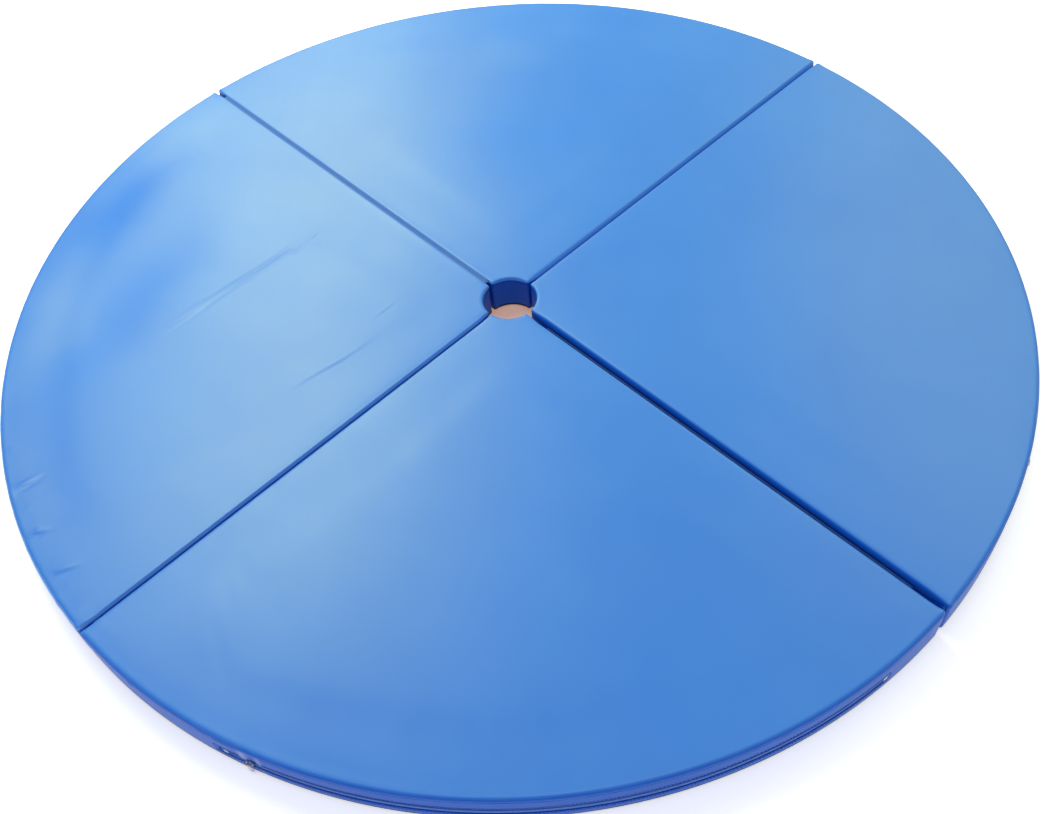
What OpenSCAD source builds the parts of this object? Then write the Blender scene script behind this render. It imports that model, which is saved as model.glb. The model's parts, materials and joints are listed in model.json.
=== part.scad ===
// Folding round floor mat with a pole hole.
// Four padded quarter panels stand side by side on the floor. Three of the four radial seams are fabric
// hinges, and the fourth opens and is held by a hook strip and a loop strip. Each panel is a foam core
// in a sewn cover, which opens with a zip along the rim.
// Frame: the origin is on the pole axis at floor level, +Z is up, and the seams lie on the diagonals.
// Panels run anticlockwise: right (0), rear (1), left (2), front (3). Seam k is where panel k begins.

/* [Mat] */
// Overall diameter
mat_d = 1200; // [1000:10:1600]
// Thickness of a panel, cover included
mat_t = 50; // [46:1:80]
// Diameter of the pole hole
hole_d = 64; // [56:1:80]

/* [Seams] */
// Gap between two hinged panels
hinge_gap = 4; // [3:0.5:6]
// Gap between the panels at the seam that opens
open_gap = 6; // [4:0.5:8]

/* [Cover] */
// Thickness of the vinyl
skin_t = 1; // [0.8:0.1:1.5]
// Radius of a panel's corners at the rim
rim_corner_r = 4; // [3:0.5:20]
// Radius of a panel's corners at the pole hole
tip_corner_r = 3; // [2.5:0.5:4]

/* [Hinge strips] */
// Thickness of a hinge strip
strip_t = 1; // [0.8:0.1:1.5]
// How far a strip reaches in under each panel's skin
strip_flap = 12; // [8:1:16]
// Distance of a strip's inner end from the pole axis
strip_start = 46; // [46:1:60]
// Distance of a strip's outer end from the rim
strip_end_gap = 25; // [25:1:40]

/* [Hook and loop] */
// Height of the hook strip and of the loop strip
grip_h = 26; // [16:1:30]
// Distance of their inner ends from the pole axis
grip_start = 60; // [50:1:90]
// Distance of their outer ends from the rim
grip_end_gap = 40; // [30:1:60]
// Space between the two strips
grip_space = 0.6; // [0.4:0.1:1]

/* [Zip] */
// Height of the zip's middle line above the floor
zip_z = 20; // [19:0.5:22]
// Angle from a panel's first seam to the closed end of its zip
zip_from = 18; // [16:1:25]
// Angle from a panel's first seam to the open end of its zip
zip_to = 82; // [70:1:84]
// Height of the slot in the rim band that shows the zip
zip_slot_h = 12; // [10:1:14]
// Height of the closed row of teeth
teeth_h = 5.2; // [4:0.2:5.6]
// Length of the pull tab below its pin
pull_len = 15; // [10:0.5:16]

/* [Hidden] */
$fn = 120;
PANELS = ["right", "rear", "left", "front"];
KINDS = ["foam_core", "top_skin", "bottom_skin", "inner_band", "rim_band",
         "zip_tapes", "zip_teeth", "zip_stops", "zip_slider", "zip_pull"];
STRIPS = ["hinge_strip_rear_right", "hinge_strip_left_rear", "hinge_strip_front_left"];

mat_r = mat_d / 2;
hole_r = hole_d / 2;
top_z = mat_t - skin_t;
clear = 0.2;                      // room round a hinge strip in its pocket
past = 10;                        // how far a cutting shape runs past what it cuts
cross = 0.01;                     // corner arcs are this much over size, so that they cross the sides

strip_len = mat_r - strip_end_gap - strip_start;
strip_w = hinge_gap + 2 * strip_flap;
grip_len = mat_r - grip_end_gap - grip_start;
grip_t = (open_gap - grip_space) / 2;

// Zip, as radii round the pole axis and heights
tape_t = 0.8;
tape_w = 7.5;
tape_r = mat_r - skin_t - tape_t; // the tapes lie against the back of the rim band
teeth_r0 = mat_r - 2;             // the teeth fill the slit between the tapes
teeth_r1 = mat_r - 0.2;
stop_angle = 0.5;
pocket_r = mat_r - 6;             // bottom of the groove that the foam leaves for the zip
pocket_h = 2 * tape_w + teeth_h + 2;
pocket_margin = 1.5;              // degrees

// Slider, as radial and tangential distances
slider_at = zip_from + 3.5;       // angle of the closed slider from the panel's first seam
slider_l = 9;
slider_h = 8;
plate_t = 1.2;
plate_gap = 0.4;                  // room between the slider and what it slides on
outer_plate_r = teeth_r1 + plate_gap;
inner_plate_r = teeth_r0 - plate_gap - plate_t;
flange_r = tape_r + tape_t + 0.3; // a flange ends just above its tape
post_w = 1.2;
flange_t = 1;
pin_r = 0.6;
pin_at_r = outer_plate_r + plate_t + 1.4;
lug_in = 2.2;                     // tangential distance from the middle to a lug
lug_t = 1;
lug_h = 2.8;
eye_r = 1.2;
eye_clear = 0.08;
tab_t = 0.9;
tab_w = 6.4;
neck_w = 3.6;
neck_len = 2.6;
tab_hole_r = 1.3;

teeth_from = slider_at + 0.7;

vinyl_top = [0.36, 0.60, 0.88];
vinyl_side = [0.23, 0.42, 0.76];
underside = [0.16, 0.17, 0.20];
foam_grey = [0.86, 0.87, 0.88];
strip_blue = [0.27, 0.48, 0.80];
tape_blue = [0.28, 0.36, 0.64];
teeth_blue = [0.20, 0.27, 0.52];
slider_metal = [0.72, 0.73, 0.76];
hook_grey = [0.20, 0.24, 0.36];

function first_gap(k) = k == 0 ? open_gap : hinge_gap;
function second_gap(k) = k == 3 ? open_gap : hinge_gap;
function seam_angle(k) = 90 * k - 45;
// Seam 2 folds on its top side, and seams 1 and 3 on their undersides
function strip_z(k) = k == 2 ? top_z - strip_t : skin_t;
// Centres of the corner arcs beside a side that lies half a gap from the X axis
function rim_centre(gap) =
    [sqrt(pow(mat_r - rim_corner_r, 2) - pow(gap / 2 + rim_corner_r, 2)), gap / 2 + rim_corner_r];
function tip_centre(gap) =
    [sqrt(pow(hole_r + tip_corner_r, 2) - pow(gap / 2 + tip_corner_r, 2)), gap / 2 + tip_corner_r];

module in_panel(k) {
    rotate([0, 0, seam_angle(k)]) children();
}

module slab(low, high) {
    translate([0, 0, low]) linear_extrude(high - low) children();
}

// Part of a ring round the pole axis, between two radii, two heights and two angles
module ring_part(r0, r1, z0, z1, a0, a1) {
    rotate([0, 0, a0])
        rotate_extrude(angle = a1 - a0)
            translate([r0, z0]) square([r1 - r0, z1 - z0]);
}

// What rounding takes away at the rim corner beside the X axis
module rim_corner_cut(gap, inset) {
    c = rim_centre(gap);
    difference() {
        polygon([c, [c[0], -past], [mat_r + past, -past], c * (mat_r + past) / norm(c)]);
        translate(c) circle(rim_corner_r - inset + cross);
    }
}

// What rounding takes away at the pole hole beside the X axis
module tip_corner_cut(gap, inset) {
    c = tip_centre(gap);
    difference() {
        polygon([c, [c[0], -past], [hole_r - past, -past], c * (hole_r - 1) / norm(c)]);
        translate(c) circle(tip_corner_r - inset + cross);
    }
}

module corner_cuts(gap, inset) {
    rim_corner_cut(gap, inset);
    tip_corner_cut(gap, inset);
}

// Outline of a quarter panel, drawn in from its outer face by inset. Its first side is along +X.
module quarter(k, inset) {
    difference() {
        intersection() {
            circle(mat_r - inset);
            translate([second_gap(k) / 2 + inset, first_gap(k) / 2 + inset]) square(mat_r);
        }
        circle(hole_r + inset);
        corner_cuts(first_gap(k), inset);
        mirror([1, -1]) corner_cuts(second_gap(k), inset);
    }
}

// The part of a quarter that the inner band goes round: its two straight sides and its tip
module inner_side(k) {
    a = rim_centre(first_gap(k));
    b = rim_centre(second_gap(k));
    polygon([[-past, -past], [a[0], -past], a, [b[1], b[0]], [-past, b[0]]]);
}

module wall_outline(k) {
    difference() {
        quarter(k, 0);
        quarter(k, skin_t);
    }
}

// Pocket of a hinge strip at seam j, in the frame of panel k
module strip_pocket(k, j) {
    rotate([0, 0, 90 * (j - k)])
        translate([strip_start - clear, -strip_w / 2 - clear, strip_z(j) - (j == 2 ? clear : 0)])
            cube([strip_len + 2 * clear, strip_w + 2 * clear, strip_t + clear]);
}

module strip_pockets(k) {
    if (k > 0) strip_pocket(k, k);
    if (k < 3) strip_pocket(k, k + 1);
}

module zip_pocket() {
    ring_part(pocket_r, mat_r + past, zip_z - pocket_h / 2, zip_z + pocket_h / 2,
              zip_from - pocket_margin, zip_to + pocket_margin);
}

module foam_core(k) {
    color(foam_grey) in_panel(k) difference() {
        slab(skin_t, top_z) quarter(k, skin_t);
        strip_pockets(k);
        zip_pocket();
    }
}

module top_skin(k) {
    color(vinyl_top) in_panel(k) slab(top_z, mat_t) quarter(k, 0);
}

module bottom_skin(k) {
    color(underside) in_panel(k) slab(0, skin_t) quarter(k, 0);
}

// One strip of vinyl along both straight sides and round the tip, where it lines the pole hole
module inner_band(k) {
    color(vinyl_side) in_panel(k) difference() {
        slab(skin_t, top_z) intersection() {
            wall_outline(k);
            inner_side(k);
        }
        strip_pockets(k);
    }
}

// The outer wall, with its two corners and the slot that shows the zip
module rim_band(k) {
    color(vinyl_side) in_panel(k) difference() {
        slab(skin_t, top_z) difference() {
            wall_outline(k);
            inner_side(k);
        }
        ring_part(mat_r - 2 * skin_t, mat_r + past, zip_z - zip_slot_h / 2, zip_z + zip_slot_h / 2,
                  zip_from, zip_to);
    }
}

module zip_tapes(k) {
    color(tape_blue) in_panel(k) for (side = [-1, 1]) {
        middle = zip_z + side * (teeth_h + tape_w) / 2;
        ring_part(tape_r, tape_r + tape_t, middle - tape_w / 2, middle + tape_w / 2,
                  zip_from - 1, zip_to + 1);
    }
}

// The closed teeth, as one bar between the tapes
module zip_teeth(k) {
    color(teeth_blue) in_panel(k)
        ring_part(teeth_r0, teeth_r1, zip_z - teeth_h / 2, zip_z + teeth_h / 2,
                  teeth_from, zip_to - stop_angle);
}

// A clip between the tapes at each end of the zip
module zip_stops(k) {
    color(slider_metal) in_panel(k) for (start = [zip_from + 0.6, zip_to - stop_angle])
        ring_part(teeth_r0, mat_r, zip_z - teeth_h / 2, zip_z + teeth_h / 2,
                  start, start + stop_angle);
}

// A plate that faces outwards, with rounded ends, from radius r
module slider_plate(r) {
    round_r = slider_h / 2;
    translate([r, 0, zip_z]) rotate([90, 0, 90]) linear_extrude(plate_t) {
        square([slider_l - slider_h, slider_h], center = true);
        for (side = [-1, 1]) translate([side * (slider_l - slider_h) / 2, 0]) circle(round_r);
    }
}

module slider_flange(side) {
    flange_z = zip_z + side * (teeth_h / 2 + plate_gap + flange_t / 2);
    translate([flange_r, -slider_l / 4, flange_z - flange_t / 2])
        cube([outer_plate_r - flange_r + plate_t / 2, slider_l / 2, flange_t]);
}

module slider_lug(side) {
    translate([outer_plate_r + plate_t / 2, side * (lug_in + lug_t / 2) - lug_t / 2, zip_z - lug_h / 2])
        cube([pin_at_r - outer_plate_r - plate_t / 2, lug_t, lug_h]);
    translate([pin_at_r, side * (lug_in + lug_t / 2), zip_z])
        rotate([90, 0, 0]) cylinder(r = lug_h / 2, h = lug_t, center = true);
}

// Two plates joined by a post that passes between the tapes, and two lugs with the pull's pin
module zip_slider(k) {
    color(slider_metal) in_panel(k) rotate([0, 0, slider_at]) {
        slider_plate(outer_plate_r);
        slider_plate(inner_plate_r);
        translate([inner_plate_r + plate_t / 2, -post_w / 2, zip_z - post_w / 2])
            cube([outer_plate_r - inner_plate_r, post_w, post_w]);
        for (side = [-1, 1]) {
            slider_flange(side);
            slider_lug(side);
        }
        translate([pin_at_r, 0, zip_z]) rotate([90, 0, 0])
            cylinder(r = pin_r, h = 2 * lug_in + lug_t, center = true);
    }
}

// The pull tab, with its eye round the pin, a neck between the lugs and a round lower end
module zip_pull(k) {
    color(slider_metal) in_panel(k) rotate([0, 0, slider_at]) translate([pin_at_r, 0, zip_z])
        rotate([90, 0, 90]) difference() {
            union() {
                rotate([0, 90, 0]) cylinder(r = eye_r, h = neck_w, center = true);
                translate([0, 0, -tab_t / 2]) linear_extrude(tab_t) difference() {
                    union() {
                        translate([-neck_w / 2, -neck_len]) square([neck_w, neck_len]);
                        translate([-tab_w / 2, -pull_len + tab_w / 2])
                            square([tab_w, pull_len - tab_w / 2 - neck_len]);
                        translate([0, -pull_len + tab_w / 2]) circle(tab_w / 2);
                    }
                    translate([0, -pull_len + tab_w / 2]) circle(tab_hole_r);
                }
            }
            rotate([0, 90, 0]) cylinder(r = pin_r + eye_clear, h = neck_w + 1, center = true);
        }
}

// The fabric hinge at seam k. It lies under the skins of both panels and crosses the gap between them.
module hinge_strip(k) {
    color(strip_blue) rotate([0, 0, seam_angle(k)])
        translate([strip_start, -strip_w / 2, strip_z(k)])
            cube([strip_len, strip_w, strip_t]);
}

// Hook strip (side -1, on the front panel) or loop strip (side 1, on the right panel) in the open seam
module grip_strip(side, shade) {
    color(shade) in_panel(0)
        translate([grip_start, side * (open_gap - grip_t) / 2 - grip_t / 2, (mat_t - grip_h) / 2])
            cube([grip_len, grip_t, grip_h]);
}

for (k = [0 : 3]) {
    foam_core(k);
    top_skin(k);
    bottom_skin(k);
    inner_band(k);
    rim_band(k);
    zip_tapes(k);
    zip_teeth(k);
    zip_stops(k);
    zip_slider(k);
    zip_pull(k);
}
for (k = [1 : 3]) {
    hinge_strip(k);
}
grip_strip(-1, hook_grey);  // hook_strip
grip_strip(1, strip_blue);  // loop_strip
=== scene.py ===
"""Folding round pole mat: the looks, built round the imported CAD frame, in metres.

Each quarter panel is a sewn vinyl cover over foam. Outline gives the panel's edge, and the top, the
walls, the rim band, the underside and the foam are all built from it. A panel is drawn in its own frame,
with its first side along +X, and turned about the pole axis into the row frame.
"""

import json
import math
import random

import bpy
import numpy as np
from mathutils import Euler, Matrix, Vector, geometry
from mathutils.bvhtree import BVHTree


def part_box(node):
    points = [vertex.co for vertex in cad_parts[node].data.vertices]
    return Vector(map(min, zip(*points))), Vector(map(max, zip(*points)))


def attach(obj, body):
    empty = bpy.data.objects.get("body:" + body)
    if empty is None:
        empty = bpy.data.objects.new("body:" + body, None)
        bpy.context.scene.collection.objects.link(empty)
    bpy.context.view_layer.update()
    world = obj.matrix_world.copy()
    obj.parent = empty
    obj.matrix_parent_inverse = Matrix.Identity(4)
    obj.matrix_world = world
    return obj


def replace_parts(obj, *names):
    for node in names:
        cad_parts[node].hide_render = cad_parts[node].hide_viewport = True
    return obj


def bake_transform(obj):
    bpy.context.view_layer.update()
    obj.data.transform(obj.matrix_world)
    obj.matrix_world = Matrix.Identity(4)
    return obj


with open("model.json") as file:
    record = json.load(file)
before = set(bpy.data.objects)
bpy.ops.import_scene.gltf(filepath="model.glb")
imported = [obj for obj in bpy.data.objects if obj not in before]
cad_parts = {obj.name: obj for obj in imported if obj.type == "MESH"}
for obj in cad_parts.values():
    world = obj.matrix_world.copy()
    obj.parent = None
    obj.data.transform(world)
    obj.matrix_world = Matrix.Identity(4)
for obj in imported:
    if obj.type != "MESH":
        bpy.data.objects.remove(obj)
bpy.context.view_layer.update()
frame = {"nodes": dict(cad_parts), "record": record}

# ---------------------------------------------------------------- driving sizes, in metres
MM = 0.001
PANELS = ("right", "rear", "left", "front")
MAT_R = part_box("rim_band_right")[1].x
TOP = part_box("top_skin_right")[1].z
HOLE_R = next(m for m in frame["record"]["mounts"] if m["name"] == "pole_hole")["dims"]["r_mm"] * MM
HINGE_GAP = 4 * MM  # space between two hinged panels
OPEN_GAP = 6 * MM  # space at the seam that opens
RIM_CORNER_R = 4 * MM
TIP_CORNER_R = 3 * MM
VINYL_T = 0.7 * MM
TUCK = 0.9 * MM  # how far a sewn edge turns in at a seam
TUCK_TURN = 0.7 * MM  # how far the turned-in part runs on up or down
CROWN = TOP - 0.5 * MM  # height of the middle of a panel, with room above it for creases
SWELL_ROOM = 0.6 * MM  # the most that the padding rises above that, creases left out
EDGE_FALL = 0.6 * MM  # how much lower a panel is at its edge than in its middle
EDGE_STEP = 4 * MM  # spacing of the points along a cover's edge
SEWN_GAP = 0.1 * MM  # space between a wall and the edge of the top or the underside
SOFT_EDGE = 0.9 * MM  # a further fall in the last few millimetres, except beside a hinge in the same face
ZIP_Z = (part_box("zip_teeth_right")[0].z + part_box("zip_teeth_right")[1].z) / 2
TEETH_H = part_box("zip_teeth_right")[1].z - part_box("zip_teeth_right")[0].z
ZIP_FROM, ZIP_TO = math.radians(18), math.radians(82)
SLIDER_AT = math.radians(21.5)
TEETH_FROM, TEETH_TO = math.radians(22.2), math.radians(81.5)
SLOT_HALF = 6 * MM

TOP_HINGE, BOTTOM_HINGE, OPEN_SEAM = "top hinge", "bottom hinge", "open seam"
SEAMS = (OPEN_SEAM, BOTTOM_HINGE, TOP_HINGE, BOTTOM_HINGE)  # seam k is where panel k begins


def seam_angle(k):
    return math.radians(90 * k - 45)


def half_gap(seam):
    return (OPEN_GAP if SEAMS[seam % 4] == OPEN_SEAM else HINGE_GAP) / 2


def turned(points, angle):
    """Points turned about the pole axis, whatever their number of columns."""
    points = np.asarray(points, float)
    made = points.copy()
    c, s = math.cos(angle), math.sin(angle)
    made[:, 0] = c * points[:, 0] - s * points[:, 1]
    made[:, 1] = s * points[:, 0] + c * points[:, 1]
    return made


def smooth(x, low, high):
    """0 below low, 1 above high, and smooth between."""
    t = np.clip((np.asarray(x, float) - low) / (high - low), 0, 1)
    return t * t * (3 - 2 * t)


# ---------------------------------------------------------------- outline of a quarter panel
def arc(centre, radius, start, end, step, inward):
    """Points from start to end on an arc, without the last one, and their inward directions.
    inward is 1 if the panel is on the centre's side, and -1 if not."""
    count = max(2, math.ceil(abs(end - start) * radius / step))
    angle = start + (end - start) * np.arange(count) / count
    out = np.stack([np.cos(angle), np.sin(angle)], 1)
    return np.array(centre) + radius * out, -inward * out


def straight(a, b, step, normal):
    """Points from a to b, without the last one, and their inward directions."""
    count = max(2, math.ceil(math.dist(a, b) / step))
    t = (np.arange(count) / count)[:, None]
    return np.array(a) * (1 - t) + np.array(b) * t, np.tile(normal, (count, 1))


class Outline:
    """The closed edge of panel k, anticlockwise.
    It runs along side 1, a rim corner, the rim, a rim corner, side 2, a tip, the hole and a tip."""

    def __init__(self, k, step):
        self.k = k
        self.g1, self.g2 = half_gap(k), half_gap(k + 1)
        rim = [self._centre(g, MAT_R - RIM_CORNER_R, RIM_CORNER_R) for g in (self.g1, self.g2)]
        tip = [self._centre(g, HOLE_R + TIP_CORNER_R, TIP_CORNER_R) for g in (self.g1, self.g2)]
        rim_at, tip_at = ([math.atan2(c[1], c[0]) for c in pair] for pair in (rim, tip))
        rim2, tip2 = rim[1][::-1], tip[1][::-1]
        quarter = math.pi / 2
        fine = min(step, 1.5 * MM)
        finest = min(step, 0.5 * MM)
        parts = [
            ("side1", straight((tip[0][0], self.g1), (rim[0][0], self.g1), step, (0, 1))),
            ("corner1", arc(rim[0], RIM_CORNER_R, -quarter, rim_at[0], fine, 1)),
            ("rim", arc((0, 0), MAT_R, rim_at[0], quarter - rim_at[1], step, 1)),
            ("corner2", arc(rim2, RIM_CORNER_R, quarter - rim_at[1], 2 * quarter, fine, 1)),
            ("side2", straight((self.g2, rim2[1]), (self.g2, tip2[1]), step, (1, 0))),
            ("tip2", arc(tip2, TIP_CORNER_R, 2 * quarter, 3 * quarter - tip_at[1], finest, 1)),
            ("hole", arc((0, 0), HOLE_R, quarter - tip_at[1], tip_at[0], min(step, 2 * MM), -1)),
            ("tip1", arc(tip[0], TIP_CORNER_R, 2 * quarter + tip_at[0], 3 * quarter, finest, 1)),
        ]
        self.xy = np.concatenate([p for _, (p, _) in parts])
        self.inward = np.concatenate([n for _, (_, n) in parts])
        self.tag = np.concatenate([[name] * len(p) for name, (p, _) in parts])
        gaps = np.linalg.norm(np.roll(self.xy, -1, 0) - self.xy, axis=1)
        self.length = gaps.sum()
        self.at = np.concatenate([[0], np.cumsum(gaps)[:-1]])
        lean = {side: SIDE_LEAN.get((PANELS[k], side), 0.0) for side in ("side1", "side2")}
        self.xy = self.xy - self.inward * self.per_point(dict(lean, other=0.0))[:, None]

    @staticmethod
    def _centre(gap, reach, radius):
        across = gap + radius
        return (math.sqrt(reach**2 - across**2), across)

    def away(self, at, to=None):
        """Distance along the edge from one place to every outline point, or to the places given as to."""
        straight_on = np.abs((self.at if to is None else to) - at)
        return np.minimum(straight_on, self.length - straight_on)

    def per_point(self, values):
        """A value for each point, from a value for each tag, averaged along the edge to change gently.
        It stays under each corner's own radius, so that the rows inside a corner never cross."""
        window = 14 * MM
        raw = np.array([values.get(t, values["other"]) for t in self.tag])
        made = np.zeros(len(raw))
        for i, at in enumerate(self.at):
            weight = np.exp(-((self.away(at) / window) ** 2) * 2)
            made[i] = (weight * raw).sum() / weight.sum()
        corners = (("corner1", "corner2"), RIM_CORNER_R), (("tip1", "tip2"), TIP_CORNER_R)
        for tags, radius in corners:
            for at in self.at[np.isin(self.tag, tags)]:
                made = np.minimum(made, 0.8 * radius + 0.25 * self.away(at))
        return made

    def depth(self, xy):
        """How far points lie inside the panel's edge, corners left out."""
        r = np.hypot(xy[:, 0], xy[:, 1])
        return np.minimum.reduce([xy[:, 1] - self.g1, xy[:, 0] - self.g2, MAT_R - r, r - HOLE_R])

    def corner_depth(self, xy):
        """depth, with the rim corners' rounding."""
        made = self.depth(xy)
        for g, p in ((self.g1, xy), (self.g2, xy[:, ::-1])):
            c = self._centre(g, MAT_R - RIM_CORNER_R, RIM_CORNER_R)
            past = (p[:, 0] > c[0]) & (p[:, 1] < c[1] + 2 * MM)
            made = np.where(past, np.minimum(made, RIM_CORNER_R - np.linalg.norm(p - c, axis=1)), made)
        return made


# ---------------------------------------------------------------- how far the cover rounds over at each edge
SIDE_LEAN = {  # how far a packed side swells into its seam
    ("right", "side2"): 0.8 * MM,
    ("rear", "side1"): 0.8 * MM,
    ("left", "side2"): 1.2 * MM,
    ("front", "side1"): 1.1 * MM,
}
SIDE_ROUNDING = {  # how far in and how far down, where a side is sewn with a rounder edge
    ("right", "side1"): (4.5 * MM, 8.5 * MM),
    ("rear", "side1"): (4.4 * MM, 7.5 * MM),
    ("left", "side2"): (2.4 * MM, 4.4 * MM),
    ("front", "side1"): (5.0 * MM, 6.5 * MM),
    ("front", "side2"): (5.0 * MM, 7.0 * MM),
}


def edge_shape(line, top):
    """For each outline point, how far in and how far down the cover rounds over."""
    k = line.k
    reach = {"other": 4.5 * MM, "hole": 2.6 * MM, "tip1": 2.0 * MM, "tip2": 2.0 * MM}
    drop = {"other": 5.0 * MM, "hole": 4.0 * MM, "tip1": 3.5 * MM, "tip2": 3.5 * MM}
    flush = TOP_HINGE if top else BOTTOM_HINGE
    for side, seam in (("side1", k % 4), ("side2", (k + 1) % 4)):
        reach[side], drop[side] = SIDE_ROUNDING.get((PANELS[k], side), (3.4 * MM, 5.0 * MM))
        if SEAMS[seam] == flush:
            reach[side], drop[side] = 3.2 * MM, 1.9 * MM
    if not top:
        reach = {name: min(v, 3.0 * MM) for name, v in reach.items()}
        drop = {name: min(v, 3.0 * MM) for name, v in drop.items()}
    return line.per_point(reach), line.per_point(drop)


# ---------------------------------------------------------------- relief of the vinyl
wave_draw = random.Random(7)
# Each wave: direction, wavelength in metres, phase, and share of the height
WAVES = [
    tuple(wave_draw.uniform(*ends) for ends in ((0, math.tau), (0.16, 0.42), (0, math.tau), (0.5, 1.0)))
    for _ in range(14)
]


def swell(xy):
    """Gentle unevenness of the foam, of a fraction of a millimetre, over patches of 0.16 to 0.42 m."""
    made = np.zeros(len(xy))
    for direction, wavelength, phase, share in WAVES:
        along = xy[:, 0] * math.cos(direction) + xy[:, 1] * math.sin(direction)
        made += share * wavelength * np.sin(math.tau * along / wavelength + phase)
    return made * 0.20 * MM


# Creases in the left panel, in its own frame: x, y, heading in degrees and half length in metres,
# then half width and height in millimetres. The last four rows are puckers at the rim
CREASES = [
    (0.266, 0.195, 90, 0.115, 2.8, 0.50),
    (0.262, 0.120, 88, 0.045, 2.2, 0.25),
    (0.271, 0.270, 92, 0.040, 3.0, 0.20),
    (0.079, 0.218, 85, 0.060, 2.6, 0.30),
    (0.097, 0.115, 96, 0.024, 2.4, 0.20),
    (0.315, 0.200, 89, 0.110, 7.0, 0.10),
    (0.215, 0.240, 92, 0.120, 8.0, 0.12),
    (0.165, 0.220, 88, 0.130, 9.0, 0.12),
    (0.125, 0.260, 91, 0.100, 8.0, 0.10),
    (0.197, 0.545, 85, 0.018, 3.0, 0.9),
    (0.132, 0.566, 60, 0.015, 3.0, 0.8),
    (0.072, 0.572, 72, 0.016, 3.0, 0.8),
    (0.255, 0.530, 80, 0.012, 2.6, -0.5),
]
crease_draw = random.Random(5)
for crease_y in (0.127, 0.118, 0.109, 0.101, 0.092):
    crease_x = 0.252 + crease_draw.uniform(-0.009, 0.009)
    CREASES.append((crease_x, crease_y, crease_draw.uniform(60, 120), 0.006, 1.8, 0.32))


def crease_height(xy):
    """A crease is a ridge with a hollow beside it. Points are in the left panel's own frame."""
    made = np.zeros(len(xy))
    for x, y, heading, half, width, height in CREASES:
        turn = math.radians(heading)
        dx, dy = xy[:, 0] - x, xy[:, 1] - y
        along = dx * math.cos(turn) + dy * math.sin(turn)
        across = -dx * math.sin(turn) + dy * math.cos(turn)
        u = (across + 1.5 * MM * np.sin(along / 0.021)) / (width * MM)
        ridge = np.exp(-u * u) - 0.7 * np.exp(-((u - 1.6) ** 2))
        made += height * MM * ridge * np.exp(-((along / half) ** 2) * 1.6)
    return made


class Gathers:
    """Small puckers where the cover is sewn: ridges square to the edge that fade inwards."""

    def __init__(self, line, seed):
        draw = random.Random(seed)
        self.line = line
        self.rows = []
        at = 0.0
        while at < line.length:
            middle = line.xy[np.argmin(np.abs(line.at - at))]
            x, y = turned([middle], seam_angle(line.k))[0]
            near_rim = math.hypot(x, y) > MAT_R - 30 * MM
            strength = 0.16 if near_rim else 0.05
            # The left panel's front half of the rim and the front panel's left end are the most gathered
            if near_rim and PANELS[line.k] == "left" and y < -0.10:
                strength = 0.62
            if near_rim and PANELS[line.k] == "front" and x < -0.20:
                strength = 0.34
            width = draw.uniform(3, 7) * MM
            height = strength * MM * draw.uniform(-1, 1)
            self.rows.append((at, width, height, draw.uniform(8, 30) * MM))
            at += draw.uniform(7, 20) * MM

    def height(self, at, depth):
        """Height at places along the edge and depths inside it."""
        made = np.zeros(len(at))
        for middle, width, height, reach in self.rows:
            away = self.line.away(middle, at)
            made += height * np.exp(-((away / width) ** 2)) * np.exp(-depth / reach)
        return made


def along_edge(line, xy):
    """Place along the edge of the outline point nearest to each point."""
    made = np.zeros(len(xy))
    for start in range(0, len(xy), 4000):
        part = xy[start : start + 4000]
        away = ((part[:, None, :] - line.xy[None, :, :]) ** 2).sum(2)
        made[start : start + 4000] = line.at[np.argmin(away, 1)]
    return made


# ---------------------------------------------------------------- meshes
def new_object(name, points, faces, smooth_shading=True):
    mesh = bpy.data.meshes.new(name)
    mesh.from_pydata([tuple(p) for p in points], [], [tuple(int(i) for i in f) for f in faces])
    mesh.validate()
    if smooth_shading:
        mesh.shade_smooth()
    piece = bpy.data.objects.new(name, mesh)
    bpy.context.scene.collection.objects.link(piece)
    return piece


def panel_object(name, k, points, faces):
    """An object named after panel k, from points in that panel's own frame."""
    return new_object(name + PANELS[k], turned(points, seam_angle(k)), faces)


def inside(loop, xy):
    """Which points lie inside a closed loop, by counting the edges to the right of each point."""
    made = np.zeros(len(xy), bool)
    for a, b in zip(loop, np.roll(loop, -1, 0)):
        if a[1] == b[1]:
            continue
        between = (a[1] > xy[:, 1]) != (b[1] > xy[:, 1])
        crossing = a[0] + (b[0] - a[0]) * (xy[:, 1] - a[1]) / (b[1] - a[1])
        made ^= between & (xy[:, 0] < crossing)
    return made


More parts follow.
